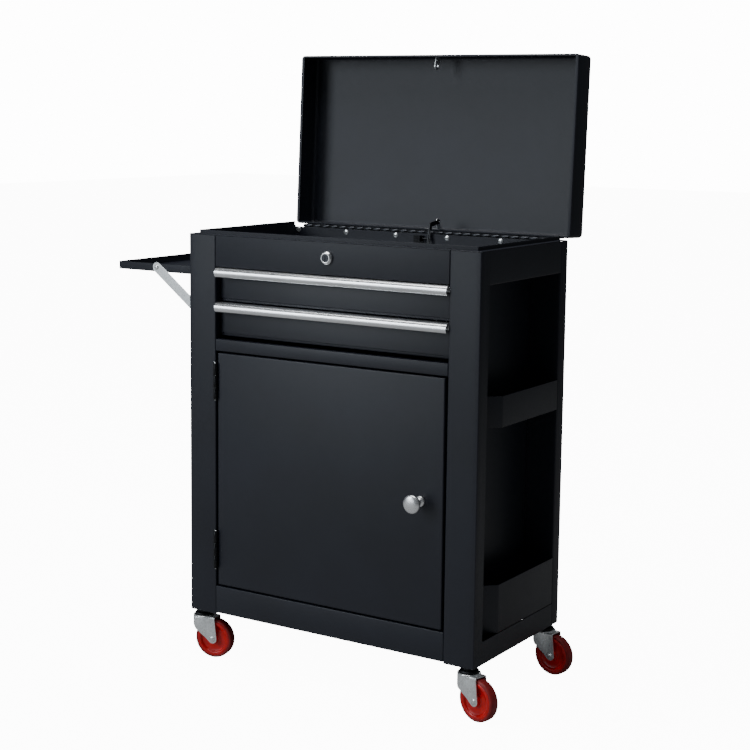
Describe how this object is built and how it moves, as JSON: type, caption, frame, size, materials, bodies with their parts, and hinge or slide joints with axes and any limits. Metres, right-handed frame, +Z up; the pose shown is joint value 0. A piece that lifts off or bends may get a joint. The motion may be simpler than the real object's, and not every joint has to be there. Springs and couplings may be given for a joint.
{
  "type": "rolling tool chest",
  "caption": "Sheet-metal tool cabinet on swivel casters with a hinged lid over a top till, drawers, a side-hinged door, recessed side bins and a fold-out side tray.",
  "frame": {"origin": "bottom centre of the chest's box, on the floor, with the lid open and the tray folded out", "axes": "+Z up, +X to the right seen from the front, +Y to the back, where the lid's hinge is"},
  "size_m": [0.8506, 0.4382, 1.1329],
  "materials": {
    "body_paint": "blue-black satin powder coat",
    "pull_metal": "polished bar",
    "chrome_trim": "bright to satin chrome",
    "hinge_steel": "plain rolled steel",
    "zinc_plate": "bright zinc plate",
    "dark_steel": "black oxide",
    "wheel_red": "red moulded wheel with a smooth tread"
  },
  "bodies": {
    "cabinet": {"column_left": "body_paint", "column_right": "body_paint", "rear_post_left": "body_paint", "rear_post_right": "body_paint", "side_panel_left": "body_paint", "side_panel_right": "body_paint", "back_panel": "body_paint", "base_pan": "body_paint", "kick_panel": "body_paint", "mid_rail": "body_paint", "floor_plate": "body_paint", "shelf": "body_paint", "top_front_panel": "body_paint", "side_band_left": "body_paint", "side_band_right": "body_paint", "till_liner": "body_paint", "bin_middle": "body_paint", "bin_lower": "body_paint", "lid_hinge_body_leaf": "hinge_steel", "lid_hinge_pin": "hinge_steel", "lock_barrel": "chrome_trim", "stay_guide": "dark_steel", "drawer_rails_left": "hinge_steel", "drawer_rails_right": "hinge_steel", "door_hinge_upper_frame": "dark_steel", "door_hinge_lower_frame": "dark_steel", "tray_hinge_body_leaf": "zinc_plate", "caster_stem_front_left": "dark_steel", "caster_stem_front_right": "dark_steel", "caster_stem_back_left": "dark_steel", "caster_stem_back_right": "dark_steel"},
    "lid": {"lid_shell": "body_paint", "lid_hinge_lid_leaf": "hinge_steel", "lid_hook": "zinc_plate", "stay_bracket": "zinc_plate"},
    "stay": {"stay_arm": "zinc_plate"},
    "drawer_1": {"drawer_1_front": "body_paint", "drawer_1_pull": "pull_metal", "drawer_1_box": "body_paint"},
    "drawer_2": {"drawer_2_front": "body_paint", "drawer_2_pull": "pull_metal", "drawer_2_box": "body_paint"},
    "door": {"door_panel": "body_paint", "door_knob": "chrome_trim", "door_hinge_upper_leaf": "dark_steel", "door_hinge_lower_leaf": "dark_steel"},
    "lock": {"lock_plug": "chrome_trim", "lock_cam": "zinc_plate"},
    "tray": {"side_tray": "body_paint", "tray_hinge_tray_leaf": "zinc_plate"},
    "front_brace": {"brace_front": "zinc_plate"},
    "rear_brace": {"brace_rear": "zinc_plate"},
    "fork_front_left": {"caster_fork_front_left": "zinc_plate"},
    "wheel_front_left": {"caster_wheel_front_left": "wheel_red"},
    "fork_front_right": {"caster_fork_front_right": "zinc_plate"},
    "wheel_front_right": {"caster_wheel_front_right": "wheel_red"},
    "fork_back_left": {"caster_fork_back_left": "zinc_plate"},
    "wheel_back_left": {"caster_wheel_back_left": "wheel_red"},
    "fork_back_right": {"caster_fork_back_right": "zinc_plate"},
    "wheel_back_right": {"caster_wheel_back_right": "wheel_red"}
  },
  "joints": [
    {"name": "lid_swing", "type": "hinge", "parent": "cabinet", "child": "lid", "pos_m": [0.07766, 0.14537, 0.7994], "axis": [1, 0, 0], "range_deg": [0, 92.8]},
    {"name": "stay_swing", "type": "hinge", "parent": "lid", "child": "stay", "pos_m": [0.09866, 0.15987, 0.82], "axis": [1, 0, 0], "range_deg": [-68, 0]},
    {"name": "drawer_1_slide", "type": "slide", "parent": "cabinet", "child": "drawer_1", "axis": [0, -1, 0], "range_m": [0, 0.25]},
    {"name": "drawer_2_slide", "type": "slide", "parent": "cabinet", "child": "drawer_2", "axis": [0, -1, 0], "range_m": [0, 0.25]},
    {"name": "door_swing", "type": "hinge", "parent": "cabinet", "child": "door", "pos_m": [-0.16504, -0.18913, 0.3685], "axis": [0, 0, -1], "range_deg": [0, 110]},
    {"name": "lock_turn", "type": "hinge", "parent": "cabinet", "child": "lock", "pos_m": [0.07766, -0.18513, 0.774], "axis": [0, 1, 0], "range_deg": [0, 90]},
    {"name": "tray_fold", "type": "hinge", "parent": "cabinet", "child": "tray", "pos_m": [-0.22734, -0.02388, 0.74], "axis": [0, -1, 0], "range_deg": [0, 90]},
    {"name": "front_brace_swing", "type": "hinge", "parent": "tray", "child": "front_brace", "pos_m": [-0.33034, -0.15473, 0.7305], "axis": [0, -1, 0], "range_deg": [-143.5, 0]},
    {"name": "rear_brace_swing", "type": "hinge", "parent": "tray", "child": "rear_brace", "pos_m": [-0.33034, 0.10697, 0.7305], "axis": [0, -1, 0], "range_deg": [-143.5, 0]},
    {"name": "swivel_front_left", "type": "hinge", "parent": "cabinet", "child": "fork_front_left", "pos_m": [-0.20934, -0.16713, 0.092], "axis": [0, 0, 1], "continuous": true},
    {"name": "spin_front_left", "type": "hinge", "parent": "fork_front_left", "child": "wheel_front_left", "pos_m": [-0.18684, -0.16235, 0.0375], "axis": [-0.2079, 0.9781, 0], "continuous": true},
    {"name": "swivel_front_right", "type": "hinge", "parent": "cabinet", "child": "fork_front_right", "pos_m": [0.36466, -0.16713, 0.092], "axis": [0, 0, 1], "continuous": true},
    {"name": "spin_front_right", "type": "hinge", "parent": "fork_front_right", "child": "wheel_front_right", "pos_m": [0.38707, -0.1723, 0.0375], "axis": [0.225, 0.9744, 0], "continuous": true},
    {"name": "swivel_back_left", "type": "hinge", "parent": "cabinet", "child": "fork_back_left", "pos_m": [-0.20934, 0.11687, 0.092], "axis": [0, 0, 1], "continuous": true},
    {"name": "spin_back_left", "type": "hinge", "parent": "fork_back_left", "child": "wheel_back_left", "pos_m": [-0.18646, 0.11928, 0.0375], "axis": [-0.1045, 0.9945, 0], "continuous": true},
    {"name": "swivel_back_right", "type": "hinge", "parent": "cabinet", "child": "fork_back_right", "pos_m": [0.36466, 0.11687, 0.092], "axis": [0, 0, 1], "continuous": true},
    {"name": "spin_back_right", "type": "hinge", "parent": "fork_back_right", "child": "wheel_back_right", "pos_m": [0.38744, 0.11367, 0.0375], "axis": [0.1392, 0.9903, 0], "continuous": true}
  ],
  "couplings": [
    {"joint": "stay_swing", "follows": "lid_swing", "ratio": -0.73},
    {"joint": "front_brace_swing", "follows": "tray_fold", "ratio": -1.589},
    {"joint": "rear_brace_swing", "follows": "tray_fold", "ratio": -1.589}
  ]
}
